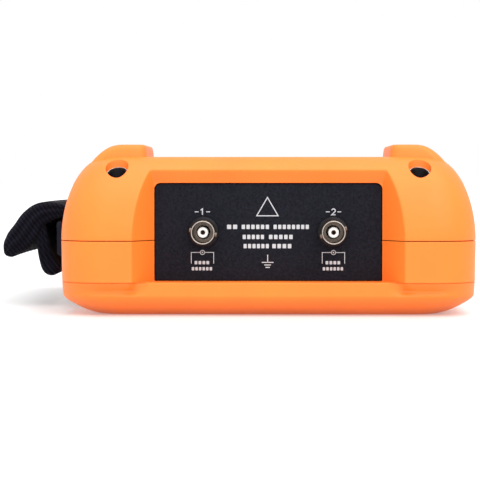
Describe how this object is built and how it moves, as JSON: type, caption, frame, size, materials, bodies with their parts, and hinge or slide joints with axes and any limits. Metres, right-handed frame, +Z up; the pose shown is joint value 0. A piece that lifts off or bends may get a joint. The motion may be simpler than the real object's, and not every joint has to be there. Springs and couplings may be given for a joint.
{
  "type": "handheld oscilloscope",
  "caption": "Handheld oscilloscope lying on its screen: orange two-part case, recessed panel with coaxial inputs, keypad, kickstand, battery bay and padded hand strap.",
  "frame": {"origin": "on the surface the instrument lies on, at the middle of its footprint, strap included", "axes": "+X to the right when the input end faces the viewer, +Y along the length from the input end to the hand end, +Z up, from the screen side to the back"},
  "size_m": [0.1937, 0.2594, 0.0669],
  "materials": {
    "case": "satin orange moulding",
    "dark_plastic": "fine grain, blue-grey black",
    "dark_rubber": "matte",
    "key_rubber": "matte",
    "strap_fabric": "ribbed black weave",
    "board": "green solder mask",
    "window": "clear over a dark screen",
    "white_plastic": "off-white",
    "brass": "plated",
    "red_plastic": "gloss",
    "battery": "shrink film",
    "metal": "nickel plated"
  },
  "bodies": {
    "case": {"battery_cover": "dark_plastic", "battery_cover_screw": "metal", "battery_pack": "battery", "case_screw_left_hand": "metal", "case_screw_left_input": "metal", "case_screw_right_hand": "metal", "case_screw_right_input": "metal", "connector_ch1_body": "metal", "connector_ch1_contact": "brass", "connector_ch1_insulator": "white_plastic", "connector_ch1_nut": "metal", "connector_ch2_body": "metal", "connector_ch2_contact": "brass", "connector_ch2_insulator": "white_plastic", "connector_ch2_nut": "metal", "display_lens": "window", "display_module": "metal", "face_plate": "dark_plastic", "front_housing": "case", "hand_strap": "strap_fabric", "input_panel": "dark_plastic", "input_shield_ch1": "metal", "input_shield_ch2": "metal", "key_board": "board", "key_mat": "key_rubber", "kickstand_pin": "metal", "main_board": "board", "meter_panel": "dark_plastic", "meter_socket_common": "red_plastic", "meter_socket_current": "red_plastic", "meter_socket_voltage": "red_plastic", "power_jack": "dark_plastic", "rear_housing": "case", "strap_bar_left_hand": "metal", "strap_bar_left_input": "metal", "strap_bar_right_hand": "metal", "strap_bar_right_input": "metal", "strap_pad": "strap_fabric", "usb_socket": "metal"},
    "auto_key": {"auto_key": "key_rubber"},
    "channel_key": {"channel_key": "key_rubber"},
    "down_key": {"down_key": "key_rubber"},
    "enter_key": {"enter_key": "key_rubber"},
    "left_key": {"left_key": "key_rubber"},
    "meter_key": {"meter_key": "key_rubber"},
    "power_key": {"power_key": "key_rubber"},
    "recorder_key": {"recorder_key": "key_rubber"},
    "right_key": {"right_key": "key_rubber"},
    "run_key": {"run_key": "key_rubber"},
    "scope_key": {"scope_key": "key_rubber"},
    "soft_key_1": {"soft_key_1": "key_rubber"},
    "soft_key_2": {"soft_key_2": "key_rubber"},
    "soft_key_3": {"soft_key_3": "key_rubber"},
    "soft_key_4": {"soft_key_4": "key_rubber"},
    "time_key": {"time_key": "key_rubber"},
    "trigger_key": {"trigger_key": "key_rubber"},
    "up_key": {"up_key": "key_rubber"},
    "kickstand": {"kickstand": "dark_plastic"},
    "port_cover": {"port_cover": "dark_rubber"}
  },
  "joints": [
    {"name": "auto_key_press", "type": "slide", "parent": "case", "child": "auto_key", "axis": [0, 0, 1], "range_m": [0, 0.0008], "stiffness_N_per_m": 1000, "springref_m": -0.0005},
    {"name": "channel_key_press", "type": "slide", "parent": "case", "child": "channel_key", "axis": [0, 0, 1], "range_m": [0, 0.0008], "stiffness_N_per_m": 1000, "springref_m": -0.0005},
    {"name": "down_key_press", "type": "slide", "parent": "case", "child": "down_key", "axis": [0, 0, 1], "range_m": [0, 0.0008], "stiffness_N_per_m": 1000, "springref_m": -0.0005},
    {"name": "enter_key_press", "type": "slide", "parent": "case", "child": "enter_key", "axis": [0, 0, 1], "range_m": [0, 0.0008], "stiffness_N_per_m": 1000, "springref_m": -0.0005},
    {"name": "left_key_press", "type": "slide", "parent": "case", "child": "left_key", "axis": [0, 0, 1], "range_m": [0, 0.0008], "stiffness_N_per_m": 1000, "springref_m": -0.0005},
    {"name": "meter_key_press", "type": "slide", "parent": "case", "child": "meter_key", "axis": [0, 0, 1], "range_m": [0, 0.0008], "stiffness_N_per_m": 1000, "springref_m": -0.0005},
    {"name": "power_key_press", "type": "slide", "parent": "case", "child": "power_key", "axis": [0, 0, 1], "range_m": [0, 0.0008], "stiffness_N_per_m": 1000, "springref_m": -0.0005},
    {"name": "recorder_key_press", "type": "slide", "parent": "case", "child": "recorder_key", "axis": [0, 0, 1], "range_m": [0, 0.0008], "stiffness_N_per_m": 1000, "springref_m": -0.0005},
    {"name": "right_key_press", "type": "slide", "parent": "case", "child": "right_key", "axis": [0, 0, 1], "range_m": [0, 0.0008], "stiffness_N_per_m": 1000, "springref_m": -0.0005},
    {"name": "run_key_press", "type": "slide", "parent": "case", "child": "run_key", "axis": [0, 0, 1], "range_m": [0, 0.0008], "stiffness_N_per_m": 1000, "springref_m": -0.0005},
    {"name": "scope_key_press", "type": "slide", "parent": "case", "child": "scope_key", "axis": [0, 0, 1], "range_m": [0, 0.0008], "stiffness_N_per_m": 1000, "springref_m": -0.0005},
    {"name": "soft_key_1_press", "type": "slide", "parent": "case", "child": "soft_key_1", "axis": [0, 0, 1], "range_m": [0, 0.0008], "stiffness_N_per_m": 1000, "springref_m": -0.0005},
    {"name": "soft_key_2_press", "type": "slide", "parent": "case", "child": "soft_key_2", "axis": [0, 0, 1], "range_m": [0, 0.0008], "stiffness_N_per_m": 1000, "springref_m": -0.0005},
    {"name": "soft_key_3_press", "type": "slide", "parent": "case", "child": "soft_key_3", "axis": [0, 0, 1], "range_m": [0, 0.0008], "stiffness_N_per_m": 1000, "springref_m": -0.0005},
    {"name": "soft_key_4_press", "type": "slide", "parent": "case", "child": "soft_key_4", "axis": [0, 0, 1], "range_m": [0, 0.0008], "stiffness_N_per_m": 1000, "springref_m": -0.0005},
    {"name": "time_key_press", "type": "slide", "parent": "case", "child": "time_key", "axis": [0, 0, 1], "range_m": [0, 0.0008], "stiffness_N_per_m": 1000, "springref_m": -0.0005},
    {"name": "trigger_key_press", "type": "slide", "parent": "case", "child": "trigger_key", "axis": [0, 0, 1], "range_m": [0, 0.0008], "stiffness_N_per_m": 1000, "springref_m": -0.0005},
    {"name": "up_key_press", "type": "slide", "parent": "case", "child": "up_key", "axis": [0, 0, 1], "range_m": [0, 0.0008], "stiffness_N_per_m": 1000, "springref_m": -0.0005},
    {"name": "kickstand_hinge", "type": "hinge", "parent": "case", "child": "kickstand", "pos_m": [0.01525, -0.06665, 0.0602], "axis": [1, 0, 0], "range_deg": [0, 75]},
    {"name": "port_cover_hinge", "type": "hinge", "parent": "case", "child": "port_cover", "pos_m": [0.09655, -0.01375, 0.0268], "axis": [0, -1, 0], "range_deg": [0, 100]}
  ]
}
